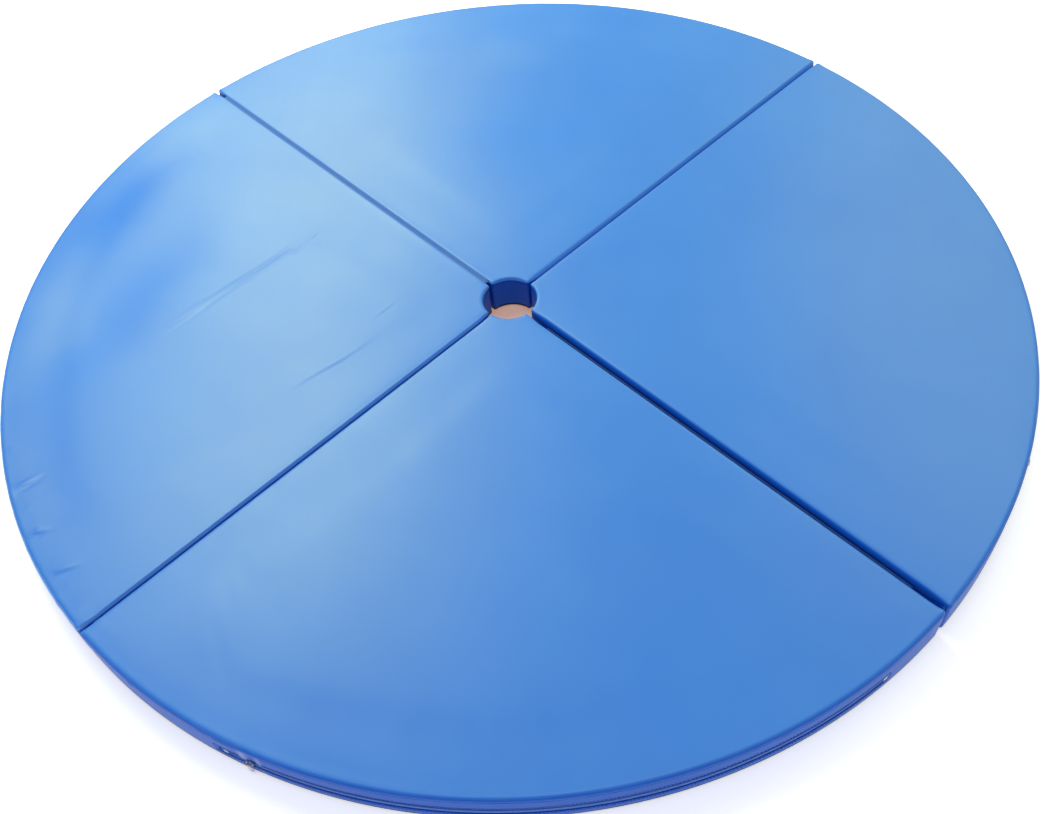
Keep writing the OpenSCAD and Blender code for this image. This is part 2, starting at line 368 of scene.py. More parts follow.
def fill(loop, inner, line, step, refine=()):
    """Points and triangles inside a closed loop of 2D points, and the loop's places among the points.
    inner holds rings to pass through, and refine holds boxes with a finer grid."""
    count = math.ceil(MAT_R / step)
    grid = (np.stack(np.meshgrid(np.arange(count), np.arange(count)), -1).reshape(-1, 2) + 0.5) * step
    grid[:, 0] += (np.floor(grid[:, 1] / step) % 2) * step / 2  # every other row is shifted
    keep_clear = np.concatenate([loop, *inner]) if inner else loop
    deepest = line.depth(keep_clear).max()
    grid = grid[line.corner_depth(grid) > deepest + 0.6 * step]
    extra = []
    for low, high, fine in refine:
        n = np.ceil((np.array(high) - low) / fine).astype(int)
        spot = np.stack(np.meshgrid(np.arange(n[0]), np.arange(n[1])), -1).reshape(-1, 2) * fine + low
        grid = grid[~((grid > low) & (grid < high)).all(1)]
        extra.append(spot[line.corner_depth(spot) > deepest + 0.6 * step])
    points = np.concatenate([loop, *inner, grid, *extra])
    made = geometry.delaunay_2d_cdt([Vector(p) for p in points], [], [list(range(len(loop)))], 1, 1e-7, True)
    xy, faces, origin = made[0], made[2], made[3]
    xy = np.array([tuple(p) for p in xy])
    faces = np.array([list(f) for f in faces])
    faces = faces[inside(loop, xy[faces].mean(1))]
    order = {ids[0]: i for i, ids in enumerate(origin) if ids}
    ring = [order[i] for i in range(len(loop))]
    return xy, faces.tolist(), ring


def bands(rings, closed=True):
    """Quads between rows of vertex indices."""
    faces = []
    for low, high in zip(rings, rings[1:]):
        n = len(low)
        for i in range(n if closed else n - 1):
            j = (i + 1) % n
            faces.append((low[i], low[j], high[j], high[i]))
    return faces


def grid_faces(rows, columns):
    """Faces of a grid of points that are listed row by row."""
    return bands(np.arange(rows * columns).reshape(rows, columns).tolist(), closed=False)


def flipped(faces, start=0):
    """Faces turned over, with their indices moved on by start."""
    return [tuple(start + i for i in reversed(f)) for f in faces]


def stacked(xy, height, ring, layers):
    """Points of a filled sheet and of the rings in layers beyond its edge, and the rows of their indices."""
    points, rows, total = [np.column_stack([xy, height + np.zeros(len(xy))])], [ring], len(xy)
    for edge, level in layers:
        points.append(np.column_stack([edge, level + np.zeros(len(edge))]))
        rows.append(list(range(total, total + len(edge))))
        total += len(edge)
    return np.concatenate(points), rows


def closed_block(xy, faces, ring, high, layers, low):
    """A block with a flat top and underside and with rings in layers round its sides."""
    points, rows = stacked(xy, high, ring, layers)
    start = len(points)
    rows.append([start + i for i in ring])
    points = np.concatenate([points, np.column_stack([xy, np.full(len(xy), low)])])
    return points, faces + flipped(bands(rows)) + flipped(faces, start), rows


def tube(rings, turn_over=False):
    """Points and faces of a closed tube through rings that have the same number of points."""
    n = len(rings[0])
    faces = []
    for i in range(len(rings) - 1):
        for s in range(n):
            q = (s + 1) % n
            faces.append((i * n + s, (i + 1) * n + s, (i + 1) * n + q, i * n + q))
    last = (len(rings) - 1) * n
    faces += [tuple(range(n)), tuple(last + s for s in reversed(range(n)))]
    return [p for ring in rings for p in ring], flipped(faces) if turn_over else faces


def thicken(piece, thickness=VINYL_T, offset=-1.0):
    """Gives a sheet its thickness and applies it."""
    modifier = piece.modifiers.new("thickness", "SOLIDIFY")
    modifier.thickness = thickness
    modifier.offset = offset
    modifier.use_rim = True
    apply_modifiers(piece)
    return piece


def apply_modifiers(piece):
    bpy.context.view_layer.update()
    evaluated = piece.evaluated_get(bpy.context.evaluated_depsgraph_get())
    piece.data = bpy.data.meshes.new_from_object(evaluated)
    piece.modifiers.clear()


# ---------------------------------------------------------------- the padded shape, by cloth simulation
CAP_UP, CAP_OUT = 0.5 * MM, 1.0 * MM  # the most that the simulated swelling adds
CLOTH_FRAMES = 20


def simulated_swell(k):
    """How a closed vinyl cover over this panel's foam swells: its top upwards, and its walls outwards."""
    line = Outline(k, 9 * MM)
    xy, faces, ring = fill(line.xy + line.inward * 6 * MM, [], line, 11 * MM)
    heights = (TOP - 4 * MM, TOP * 0.66, TOP * 0.33, 4 * MM)
    layers = [(line.xy + line.inward * MM, height) for height in heights]
    points, shell_faces, rows = closed_block(xy, faces, ring, TOP - 1.2 * MM, layers, 1.2 * MM)
    shell = new_object("cloth_shell_" + PANELS[k], points, shell_faces)
    rest = np.array([v.co for v in shell.data.vertices])
    pins = shell.vertex_groups.new(name="pins")
    pins.add(rows[1] + rows[4] + list(range(len(rest) - len(xy), len(rest))), 1.0, "REPLACE")
    cloth = shell.modifiers.new("cloth", "CLOTH")
    settings = cloth.settings
    settings.quality = 6
    settings.mass = 0.4
    settings.tension_stiffness = 30
    settings.compression_stiffness = 20
    settings.shear_stiffness = 20
    settings.bending_stiffness = 1.5
    settings.use_pressure = True
    settings.uniform_pressure_force = 4.0
    settings.vertex_group_mass = "pins"
    settings.shrink_min = -0.004  # the cover is cut a little larger than the foam
    settings.effector_weights.gravity = 0
    cloth.point_cache.frame_start = 1
    cloth.point_cache.frame_end = CLOTH_FRAMES
    scene = bpy.context.scene
    for f in range(1, CLOTH_FRAMES + 1):
        scene.frame_set(f)
    evaluated = shell.evaluated_get(bpy.context.evaluated_depsgraph_get())
    move = np.array([v.co for v in evaluated.data.vertices]) - rest
    scene.frame_set(1)
    bpy.data.objects.remove(shell)
    bulge = move[: len(xy), 2]
    bulge = CAP_UP * np.tanh((bulge - np.median(bulge)) / (2.5 * MM))
    tree = BVHTree.FromPolygons([(p[0], p[1], 0.0) for p in xy], faces)
    out = sum((move[row][:, :2] * -line.inward).sum(1) for row in rows[2:4]) / 2
    out = CAP_OUT * np.tanh(out / (4 * MM))
    top = {"xy": xy, "faces": faces, "bulge": bulge, "tree": tree}
    return dict(top, out_at=line.at, out=out, length=line.length)


def bulge_at(flat, xy):
    """The simulated top's height at points, between the corners of the triangle that each lies in."""
    made = np.zeros(len(xy))
    for i, (x, y) in enumerate(xy):
        _, _, index, _ = flat["tree"].find_nearest((x, y, 0.0))
        corners = flat["faces"][index]
        a, b, c = (flat["xy"][j] for j in corners)
        det = (b[1] - c[1]) * (a[0] - c[0]) + (c[0] - b[0]) * (a[1] - c[1])
        wa = ((b[1] - c[1]) * (x - c[0]) + (c[0] - b[0]) * (y - c[1])) / det
        wb = ((c[1] - a[1]) * (x - c[0]) + (a[0] - c[0]) * (y - c[1])) / det
        weights = np.clip((wa, wb, 1 - wa - wb), 0, 1)
        made[i] = (weights * flat["bulge"][list(corners)]).sum() / weights.sum()
    return made


# ---------------------------------------------------------------- covers
CREASE_BOXES = {  # where the left panel's creases need a finer mesh, in its own frame
    "left": (
        ((0.236, 0.060), (0.290, 0.330), 1.6 * MM),
        ((0.060, 0.080), (0.112, 0.300), 2.0 * MM),
        ((0.050, 0.520), (0.215, 0.590), 2.5 * MM),
    ),
}
TOP_STEP = 5 * MM


def soft_edges(line):
    """The fall of the top near each part of the edge."""
    falls = {"other": SOFT_EDGE, "hole": 0.3 * MM}
    for side, seam in (("side1", line.k % 4), ("side2", (line.k + 1) % 4)):
        falls[side] = 0.0 if SEAMS[seam] == TOP_HINGE else SOFT_EDGE
    return falls


def top_height(line, gathers, flat, xy, at, depth):
    """Height of the top of the vinyl over the panel."""
    row_xy = turned(xy, seam_angle(line.k))
    fade = smooth(depth, 0, 12 * MM)
    relief = fade * swell(row_xy) + gathers.height(at, depth)
    if flat is not None:
        relief = relief + fade * bulge_at(flat, xy)
    relief = np.where(relief > 0, SWELL_ROOM * np.tanh(relief / SWELL_ROOM), relief)
    if PANELS[line.k] == "left":
        relief = relief + smooth(depth, 0, 6 * MM) * crease_height(xy)
    soft = np.interp(at, line.at, line.per_point(soft_edges(line)), period=line.length)
    return CROWN - EDGE_FALL * np.exp(-depth / (22 * MM)) - soft * np.exp(-depth / (5 * MM)) + relief


def rounded_rings(line, reach, count):
    """Rings that round over an edge, from the flat part outwards: points, depth inside, share of the drop."""
    rings = []
    for s in np.linspace(1, 0, count):
        depth = reach * (1 - math.cos(s * math.pi / 2))
        rings.append((line.xy + line.inward * depth[:, None], depth, 1 - math.sin(s * math.pi / 2)))
    return rings


def cover_top(k, flat):
    """The top skin: crowned, rounded over at its edge and turned in at the seam."""
    line = Outline(k, EDGE_STEP)
    gathers = Gathers(line, 20 + k)
    reach, drop = edge_shape(line, True)
    (loop, _, _), *rings = rounded_rings(line, reach, 9)
    inner = [line.xy[::2] + line.inward[::2] * (reach[::2] + d)[:, None] for d in (3 * MM, 7 * MM)]
    even = ~np.isin(line.tag[::2], ("tip1", "tip2", "corner1", "corner2"))
    inner = [r[even] for r in inner]
    inner = [r[line.corner_depth(r) > 4 * MM] for r in inner]
    xy, faces, ring = fill(loop, inner, line, TOP_STEP, CREASE_BOXES.get(PANELS[k], ()))
    at, depth = along_edge(line, xy), np.maximum(line.corner_depth(xy), 0)
    middle = top_height(line, gathers, flat, xy, at, depth)
    layers = []
    for ring_xy, depth, share in rings:
        layers.append((ring_xy, top_height(line, gathers, flat, ring_xy, line.at, depth) - drop * share))
    layers.append((line.xy + line.inward * TUCK, layers[-1][1] - TUCK_TURN))
    points, rows = stacked(xy, middle, ring, layers)
    return thicken(panel_object("top_cover_", k, points, faces + bands(rows[::-1]))), gathers


def cover_bottom(k):
    """The underside: flat on the floor, and rounded over at its edge."""
    line = Outline(k, EDGE_STEP)
    reach, drop = edge_shape(line, False)
    (loop, _, _), *rings = rounded_rings(line, reach, 6)
    xy, faces, ring = fill(loop, [], line, 12 * MM)
    layers = [(ring_xy, drop * share) for ring_xy, _, share in rings]
    layers.append((line.xy + line.inward * TUCK, layers[-1][1] + TUCK_TURN))
    points, rows = stacked(xy, 0, ring, layers)
    return thicken(panel_object("underside_", k, points, flipped(faces) + bands(rows)))


def wall_rows(line, low, high, count):
    """Heights and inward distances of a wall's rows, from a turned-in bottom edge to a turned-in top edge."""
    tuck = np.full(len(line.at), TUCK)
    rows = [(low, tuck)]
    for s in np.linspace(0, 1, count):
        height = (low + 0.6 * MM) + (high - low - 1.2 * MM) * s
        edge = np.minimum(height - low, high - height)
        inset = 0.25 * MM + 0.6 * MM * np.exp(-edge / (0.8 * MM))
        rows.append((height, inset))
    rows.append((high, tuck))
    return rows


def cover_walls(k, flat, gathers):
    """The wall along both straight sides and round the tip, and the rim band with its zip slot."""
    line = Outline(k, EDGE_STEP)
    none = np.zeros(len(line.at))
    edge = top_height(line, gathers, flat, line.xy, line.at, none)
    low = edge_shape(line, False)[1] + SEWN_GAP
    high = edge - edge_shape(line, True)[1] - SEWN_GAP
    swollen = none
    if flat is not None:
        swollen = np.interp(line.at, flat["out_at"], flat["out"], period=flat["length"])
    rim_index = np.flatnonzero(np.isin(line.tag, ("corner1", "rim", "corner2")))
    rim_index = np.append(rim_index, rim_index[-1] + 1)
    wall_index = np.concatenate([np.arange(rim_index[-1], len(line.at)), np.arange(rim_index[0] + 1)])

    def row_points(height, inset, which, push):
        xy = line.xy + line.inward * (inset - push)[:, None]
        return np.column_stack([xy, height])[which]

    def sewn(name, points, which, in_slot=None):
        """A sheet from rows one above another. in_slot says which columns are open beside the zip."""
        faces = grid_faces(len(points), len(which))
        if in_slot is not None:
            first = SLOT_ROW * (len(which) - 1)
            slot = {first + i for i in np.flatnonzero(in_slot[:-1] & in_slot[1:])}
            faces = [face for i, face in enumerate(faces) if i not in slot]
        return thicken(panel_object(name, k, np.concatenate(points), faces))

    points = []
    for height, inset in wall_rows(line, low, high, 9):
        middle = np.sin(np.clip((height - low) / (high - low), 0, 1) * math.pi)
        push = 0.25 * MM * middle * np.tanh(swollen / (0.6 * MM))
        points.append(row_points(height, inset, wall_index, push))
    wall = sewn("side_wall_", points, wall_index)

    angle = np.arctan2(line.xy[:, 1], line.xy[:, 0])
    near_slot = smooth(angle, ZIP_FROM - 0.004, ZIP_FROM) * (1 - smooth(angle, ZIP_TO, ZIP_TO + 0.004))
    crumple = gathers.height(line.at, none)
    points = []
    heights = rim_heights(low, high)
    for n, height in enumerate(heights):
        share = np.clip((height - low) / (high - low), 0, 1)
        edge = np.minimum(height - low, high - height)
        inset = 0.15 * MM * np.exp(-edge / (0.9 * MM)) + (TUCK if n in (0, len(heights) - 1) else 0)
        inset = inset + SLOT_HEM.get(n, 0.0) * near_slot
        push = np.sin(share * math.pi) * (0.1 * MM + 0.5 * np.abs(swollen)) + crumple * share**2 * 1.3
        push = np.minimum(push + pull_folds(k, angle, share), 1.4 * MM)
        points.append(row_points(height, inset, rim_index, push))
    rim = sewn("rim_cover_", points, rim_index, ((angle > ZIP_FROM) & (angle < ZIP_TO))[rim_index])
    return wall, rim


def rim_heights(low, high):
    """Heights of the rim band's rows, with the zip slot between two of them."""
    first, last = low + 0.1 * MM, high - 0.1 * MM
    below, above = ZIP_Z - SLOT_HALF - 1.2 * MM, ZIP_Z + SLOT_HALF + 1.2 * MM
    heights = [low, first]
    heights += [first + (below - first) * t for t in (0.2, 0.45, 0.7, 1.0)]
    for away in (-SLOT_HALF - 0.5 * MM, -SLOT_HALF, SLOT_HALF, SLOT_HALF + 0.5 * MM):
        heights.append(ZIP_Z + away + 0 * low)
    heights += [above + (last - above) * t for t in np.linspace(0, 1, 9)]
    return heights + [high]


SLOT_ROW = 7  # the row of the rim band that has the slot above it
SLOT_HEM = {6: 0.1 * MM, 7: 0.4 * MM, 8: 0.4 * MM, 9: 0.1 * MM}  # how far rows beside the slot turn in
# Folds beside the closed end of the zip: degrees from the slider, width in degrees, height in millimetres
PULL_FOLDS = ((-0.5, 0.32, 1.0), (1.15, 0.22, 0.7), (0.35, 0.30, -0.6), (-1.35, 0.35, -0.4))


def pull_folds(k, angle, share):
    """Upright folds in the rim band beside the closed end of the zip, where the band is drawn in."""
    strength = 1.3 if PANELS[k] == "front" else 0.5
    made = np.zeros(len(angle))
    for offset, width, height in PULL_FOLDS:
        away = (np.degrees(angle - SLIDER_AT) - offset) / width
        made += height * np.exp(-away * away)
    return made * strength * 0.9 * MM * np.sin(np.clip(share, 0, 1) * math.pi) ** 0.7


def foam_block(k):
    """The foam quarter, a little inside the cover and rounded over with it, with a groove behind the zip."""
    line = Outline(k, 8 * MM)
    reach, drop = edge_shape(line, True)
    inset = 1.4 * MM
    low, high = 1.2 * MM, TOP - 3.4 * MM
    loop = line.xy + line.inward * (inset + reach)[:, None]
    xy, faces, ring = fill(loop, [], line, 16 * MM)
    levels = [(high - 0.3 * drop, inset + 0.45 * reach), (high - drop, inset)]
    levels += [(share * TOP, inset) for share in (0.66, 0.62, 0.18, 0.14)]
    levels += [(low + 1.2 * MM, inset)]
    layers = []
    for n, (height, inward) in enumerate(levels):
        groove = np.where((line.tag == "rim") & (n in (3, 4)), 5.0 * MM, 0.0)
        layers.append((line.xy + line.inward * (inward + groove)[:, None], height))
    points, faces, _ = closed_block(xy, faces, ring, high, layers, low)
    return panel_object("foam_", k, points, faces)


# ---------------------------------------------------------------- seams and zips
def hinge_strip(name, seam, top):
    """A fabric strip across a seam, slack in the gap. Its rows run along the seam."""
    furthest = max(abs(c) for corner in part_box(name) for c in corner[:2])
    deep, slack = 2.1 * MM, 0.5 * MM  # how far under the panels' faces it lies, and how far it sags
    level = TOP - deep if top else deep
    slack = -slack if top else slack
    across = np.array([-14, -10, -6, -3, -1.5, -1.0, -0.5, 0, 0.5, 1.0, 1.5, 3, 6, 10, 14]) * MM
    along = np.linspace(HOLE_R + 6 * MM, furthest * math.sqrt(2) - 12 * MM, 135)
    points = []
    for x in along:
        for y in across:
            sag = slack * math.exp(-((y / (1.2 * MM)) ** 2)) + 0.05 * MM * math.sin(x / 0.011 + y / 0.004)
            points.append((x, y, level + sag))
    n = len(across)
    faces = [
        (i * n + j, (i + 1) * n + j, (i + 1) * n + j + 1, i * n + j + 1)
        for i in range(len(along) - 1)
        for j in range(n - 1)
    ]
    strip = new_object(name + "_cloth", turned(points, seam_angle(seam)), faces)
    thicken(strip, 0.6 * MM, 0.0)
    return strip


def capsule(path, radius, sides):
    """A tube along a short path with closed ends that are a little narrower."""
    path = np.asarray(path, float)
    tangent = np.gradient(path, axis=0)
    tangent /= np.linalg.norm(tangent, axis=1)[:, None]
    helper = np.array([0.0, 0.0, 1.0]) if abs(tangent[0][2]) < 0.8 else np.array([1.0, 0.0, 0.0])
    rings = []
    for i, (p, t) in enumerate(zip(path, tangent)):
        u = np.cross(t, helper)
        u /= np.linalg.norm(u)
        v = np.cross(t, u)
        r = radius * (0.55 if i in (0, len(path) - 1) else 1.0)
        turns = [math.tau * s / sides for s in range(sides)]
        rings.append([p + r * (math.cos(a) * u + math.sin(a) * v) for a in turns])
    return tube(rings)


def join(parts):
    """One list of points and one of faces, from many."""
    points, faces = [], []
    for p, f in parts:
        start = len(points)
        points.extend(p)
        faces.extend(tuple(start + i for i in face) for face in f)
    return points, faces


def on_rim(angle, radius, z):
    """A point by its angle round the pole axis, in a panel's own frame."""
    return (radius * math.cos(angle), radius * math.sin(angle), z)


# Rings of a tooth: share of the row's half height from the middle line, rise and radius in millimetres
TOOTH = ((1.0, 0.0, 0.42), (0.55, 0.42, 0.46), (0.05, 0.5, 0.50), (-0.25, 0.42, 0.66), (-0.42, 0.0, 0.5))


def zip_coil(k):
    """Two coils of teeth that mesh: each tooth is a bar from its tape to a head past the middle line."""
    pitch = 2.3 * MM / MAT_R
    sides = 6
    count = int((TEETH_TO - TEETH_FROM) / pitch)
    middle_r = MAT_R - 1.0 * MM
    half = TEETH_H / 2
    parts = []
    for i in range(count * 2):
        side = 1 if i % 2 else -1
        angle = TEETH_FROM + (i / 2 + 0.4) * pitch
        rings = []
        for z_share, lift, r in TOOTH:
            ring = []
            for s in range(sides):
                a = math.tau * (s + 0.5) / sides
                out = middle_r + lift * MM + r * MM * math.sin(a) * 0.9
                turn = angle + r * MM * math.cos(a) / MAT_R
                ring.append(on_rim(turn, out, ZIP_Z + side * half * z_share))
            rings.append(ring)
        parts.append(tube(rings, turn_over=side < 0))
    parts.append(filler_band(middle_r - 0.65 * MM, half - 0.1 * MM))
    return panel_object("zip_coil_", k, *join(parts))


def filler_band(radius, half):
    """The flat cord that fills the coils behind the teeth, so that the foam doesn't show between them."""
    corners = ((0, -half), (0.3 * MM, -half), (0.3 * MM, half), (0, half))
    angles = np.linspace(TEETH_FROM, TEETH_TO, 121)
    rings = [[on_rim(angle, radius + out, ZIP_Z + up) for out, up in corners] for angle in angles]
    return tube(rings, turn_over=True)


STITCH = ((0, -0.25), (0.12, 0.12), (0.5, 0.24), (0.88, 0.12), (1, -0.25))  # share of its length, rise in mm


def zip_stitching(k, rim):
    """A row of stitches above and below the zip slot, and a bar of stitches at each end, on the rim band."""
    tree = BVHTree.FromObject(rim, bpy.context.evaluated_depsgraph_get())
    parts = []

    def surface(angle, z):
        """Radius of the rim band's face at a place."""
        a = angle + seam_angle(k)
        start = Vector((math.cos(a) * (MAT_R + 0.02), math.sin(a) * (MAT_R + 0.02), z))
        hit = tree.ray_cast(start, Vector((-math.cos(a), -math.sin(a), 0)), 0.05)[0]
        return MAT_R if hit is None else math.hypot(hit.x, hit.y)

    def stitch(angle, z, turn, rise):
        path = []
        for t, lift in STITCH:
            a, height = angle + turn * t, z + rise * t
            path.append(on_rim(a, surface(a, height) + lift * MM, height))
        parts.append(capsule(path, 0.27 * MM, 6))

    length, pitch = 3.0 * MM, 3.8 * MM
    margin, end_margin = 2.2 * MM, 3.5 * MM / MAT_R
    for z in (ZIP_Z - SLOT_HALF - margin, ZIP_Z + SLOT_HALF + margin):
        angle = ZIP_FROM - end_margin
        while angle + length / MAT_R < ZIP_TO + end_margin:
            stitch(angle, z, length / MAT_R, 0)
            angle += pitch / MAT_R
    for angle in (ZIP_FROM - end_margin, ZIP_TO + end_margin):
        z = ZIP_Z - SLOT_HALF - margin + 0.6 * MM
        while z + length < ZIP_Z + SLOT_HALF + margin:
            stitch(angle, z, 0, length)
            z += pitch
    return panel_object("zip_stitches_", k, *join(parts))


def grip_face(name, side):
    """The hook strip or the loop strip: a backing with a pile of hooks or of loops on its open face."""
    draw = random.Random(11 + side)
    start, end = 60 * MM, MAT_R - 40 * MM
    low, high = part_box(name)[0].z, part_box(name)[1].z
    wall = side * OPEN_GAP / 2
    full = (OPEN_GAP - 0.6 * MM) / 2
    step = 1.7 * MM
    columns = int((end - start) / step)
    rows = int((high - low) / step)
    points = []

    def place(i, j, y):
        return (start + (end - start) * i / columns, y, low + (high - low) * j / rows)

    for i in range(columns + 1):
        for j in range(rows + 1):
            if i in (0, columns) or j in (0, rows):
                pile = 0.9 * MM
            elif side < 0:
                pile = (2.0 if (i + j) % 2 else 1.1) * MM
            else:
                pile = (1.5 + draw.uniform(-0.35, 0.45)) * MM
            points.append(place(i, j, wall - side * min(pile, full)))
    n = rows + 1
    faces = grid_faces(columns + 1, n)
    base = len(points)
    border = [(i, 0) for i in range(columns)] + [(columns, j) for j in range(rows)]
    border += [(i, rows) for i in range(columns, 0, -1)] + [(0, j) for j in range(rows, 0, -1)]
    points += [place(i, j, wall) for i, j in border]
    for m, (i, j) in enumerate(border):
        i2, j2 = border[(m + 1) % len(border)]
        faces.append((i * n + j, i2 * n + j2, base + (m + 1) % len(border), base + m))
    faces.append(tuple(range(base, base + len(border))))
    faces = faces if side > 0 else flipped(faces)
    return new_object(name + "_pile", turned(points, seam_angle(0)), faces, smooth_shading=side > 0)


# ---------------------------------------------------------------- materials
def srgb(r, g, b):
    """A colour given as it looks on screen, 0 to 255, for a shader."""
    shares = [c / 255 for c in (r, g, b)]
    return tuple(c / 12.92 if c <= 0.04045 else ((c + 0.055) / 1.055) ** 2.4 for c in shares) + (1.0,)


class Shader:
    """A material with one Principled shader and short ways to add nodes."""

    def __init__(self, name, material=None):
        self.material = material or bpy.data.materials.new(name)
        self.material.name = name
        self.material.use_nodes = True
        self.tree = self.material.node_tree
        self.surface = self.tree.nodes["Principled BSDF"]
        self.place = self.add("TexCoord").outputs["Object"]

    def connect(self, socket, value):
        """Links another node's output to a socket, or sets the socket to a constant."""
        if isinstance(value, bpy.types.NodeSocket):
            self.tree.links.new(value, socket)
        else:
            socket.default_value = value

    def add(self, kind, inputs=None, **settings):
        """A new node. inputs holds values or other nodes' outputs, by the socket's name or number."""
        node = self.tree.nodes.new("ShaderNode" + kind)
        for name, value in settings.items():
            setattr(node, name, value)
        for name, value in (inputs or {}).items():
            self.connect(node.inputs[name], value)
        return node

    def give(self, **inputs):
        """The Principled shader's inputs, with _ for each space in a name."""
        for name, value in inputs.items():
            self.connect(self.surface.inputs[name.replace("_", " ")], value)

    def math(self, operation, *terms):
        return self.add("Math", dict(enumerate(terms)), operation=operation).outputs[0]

    def axis(self, name):
        return self.add("SeparateXYZ", {"Vector": self.place}).outputs[name]

    def noise(self, scale, detail=3.0, rough=0.5, stretch=None):
        place = self.place
        if stretch:
            place = self.add("Mapping", {"Scale": stretch, "Vector": place}).outputs["Vector"]
        inputs = {"Scale": scale, "Detail": detail, "Roughness": rough, "Vector": place}
        return self.add("TexNoise", inputs).outputs["Fac"]

    def cells(self, scale):
        return self.add("TexVoronoi", {"Scale": scale, "Vector": self.place}).outputs["Distance"]

    def tones(self, value, *stops):
        """Two colours, as they look on screen, with the values that they are reached at."""
        node = self.add("ValToRGB", {"Fac": value})
        for element, (at, colour) in zip(node.color_ramp.elements, stops):
            element.position = at
            element.color = srgb(*colour)
        return node.outputs["Color"]

    def span(self, value, low, high, start=0.0, end=1.0, soft=False):
        """low where value is at start, and high where it is at end."""
        inputs = {"Value": value, "From Min": start, "From Max": end, "To Min": low, "To Max": high}
        curve = "SMOOTHSTEP" if soft else "LINEAR"
        return self.add("MapRange", inputs, interpolation_type=curve).outputs["Result"]

    def mix(self, factor, a, b):
        return self.add("Mix", {"Factor": factor, "A": a, "B": b}, data_type="RGBA").outputs["Result"]

    def bump(self, value, strength, distance, under=None):
        inputs = {"Strength": strength, "Distance": distance, "Height": value}
        if under is not None:
            inputs["Normal"] = under
        return self.add("Bump", inputs).outputs["Normal"]


def clouded(s, gloss, clouds):
    """The vinyl's gloss, changed in soft patches."""
    drift = s.add("TexNoise", {"Scale": 9.0, "Detail": 2.0, "Vector": s.place}).outputs["Color"]
    wander = s.add("VectorMath", {0: drift, 1: (0.06, 0.06, 0.0), 2: s.place}, operation="MULTIPLY_ADD")
    total = s.span(s.noise(3.5, 2.0, 0.5), 0.92 * gloss, 1.08 * gloss)
    for x, y, heading, half, width, change in clouds:
        inputs = {
            "Location": (x + 0.03, y + 0.03, 0.0),
            "Rotation": (0.0, 0.0, math.radians(heading)),
            "Scale": (half, width, 1.0),
            "Vector": wander.outputs["Vector"],
        }
        patch = s.add("Mapping", inputs, vector_type="TEXTURE").outputs["Vector"]
        away = s.add("VectorMath", {0: patch}, operation="LENGTH").outputs["Value"]
        total = s.math("ADD", total, s.span(away, 0.0, change * gloss, 1.0, 0.0, soft=True))
    return total


def vinyl(name, light, deep, rough, gloss, tint, clouds=(), below=None):
    """Smooth coated vinyl: a fine pebble grain, faint cloudiness, and a soft gloss.
    below is a colour painted where the top turns down over an edge: painted shade where it is darker than the
    top, and painted light where it is paler. There it is also less glossy."""
    s = Shader(name)
    colour = s.tones(s.noise(5.0, 2.0, 0.5), (0.3, deep), (0.7, light))
    if below:
        # down is the turned-down edge, which gets the painted light and shade of below and a lower gloss
        down = s.span(s.axis("Z"), 0.0, 1.0, TOP - 1.8 * MM, TOP - 4.0 * MM, soft=True)
        colour = s.mix(down, colour, srgb(*below))
        s.give(Specular_IOR_Level=s.math("MULTIPLY", clouded(s, gloss, clouds), s.span(down, 1.0, 0.3)))
    else:
        s.give(Specular_IOR_Level=gloss)
    grain = s.bump(s.cells(1100.0), 0.10, 0.0004)
    s.give(
        Base_Color=colour,
        Roughness=s.span(s.noise(14.0, 3.0, 0.6), rough - 0.04, rough + 0.05),
        Normal=s.bump(s.noise(420.0, 4.0, 0.6), 0.06, 0.0006, grain),
        Specular_Tint=tint + (1.0,),
    )
    return s.material


def painted_fold_highlights(material, creases, highlight_colour):
    """A copy of a vinyl with painted highlights along upright creases, where the folds catch the light.
    Each crease is an angle round the pole axis and a half width, in degrees, and the strength of its painted
    highlight."""
    s = Shader(material.name + "_creased", material.copy())
    angle = s.math("ARCTAN2", s.axis("Y"), s.axis("X"))
    colour = s.surface.inputs["Base Color"].links[0].from_socket
    for at, half_width, strength in creases:
        away = s.math("ABSOLUTE", s.math("SUBTRACT", angle, math.radians(at)))
        near = s.span(away, 0.0, strength, math.radians(half_width), 0.0, soft=True)
        colour = s.mix(near, colour, srgb(*highlight_colour))
    s.give(Base_Color=colour)
    return s.material


def dotted_underside():
    """Dark woven fabric with rubber dots in a square grid."""
    s = Shader("underside_fabric")
    dot_pitch = 0.009
    waves = [s.math("COSINE", s.math("MULTIPLY", s.axis(axis), math.tau / dot_pitch)) for axis in "XY"]
    dot = s.span(s.math("ADD", *waves), 0.0, 1.0, 0.7, 1.3, soft=True)
    weave = s.bump(s.noise(900.0, 2.0, 0.5), 0.3, 0.0003)
    s.give(
        Base_Color=s.tones(dot, (0.2, (38, 42, 54)), (0.8, (70, 74, 84))),
        Roughness=s.span(dot, 0.9, 0.6),
        Normal=s.bump(dot, 0.6, 0.0006, weave),
    )
    return s.material


def woven(name, light, deep, rough, pitch=0.0007, strength=0.5):
    """Plain woven tape or webbing: two crossed sets of threads."""
    s = Shader(name)
    x, y, z = (s.math("SINE", s.math("MULTIPLY", s.axis(axis), math.tau / pitch)) for axis in "XYZ")
    height = s.span(s.math("MULTIPLY", s.math("ADD", x, y), z), 0.0, 1.0, -1.5, 1.5)
    # shade is painted shade: the threads are coloured darker in the hollows between them and paler on their
    # crests, with a random tone on top
    shade = s.math("MULTIPLY_ADD", s.noise(160.0, 3.0, 0.6), 0.5, height)
    s.give(
        Base_Color=s.tones(shade, (0.25, deep), (0.95, light)),
        Normal=s.bump(height, strength, 0.0003),
        Roughness=rough,
        Sheen_Weight=0.15,
    )
    return s.material


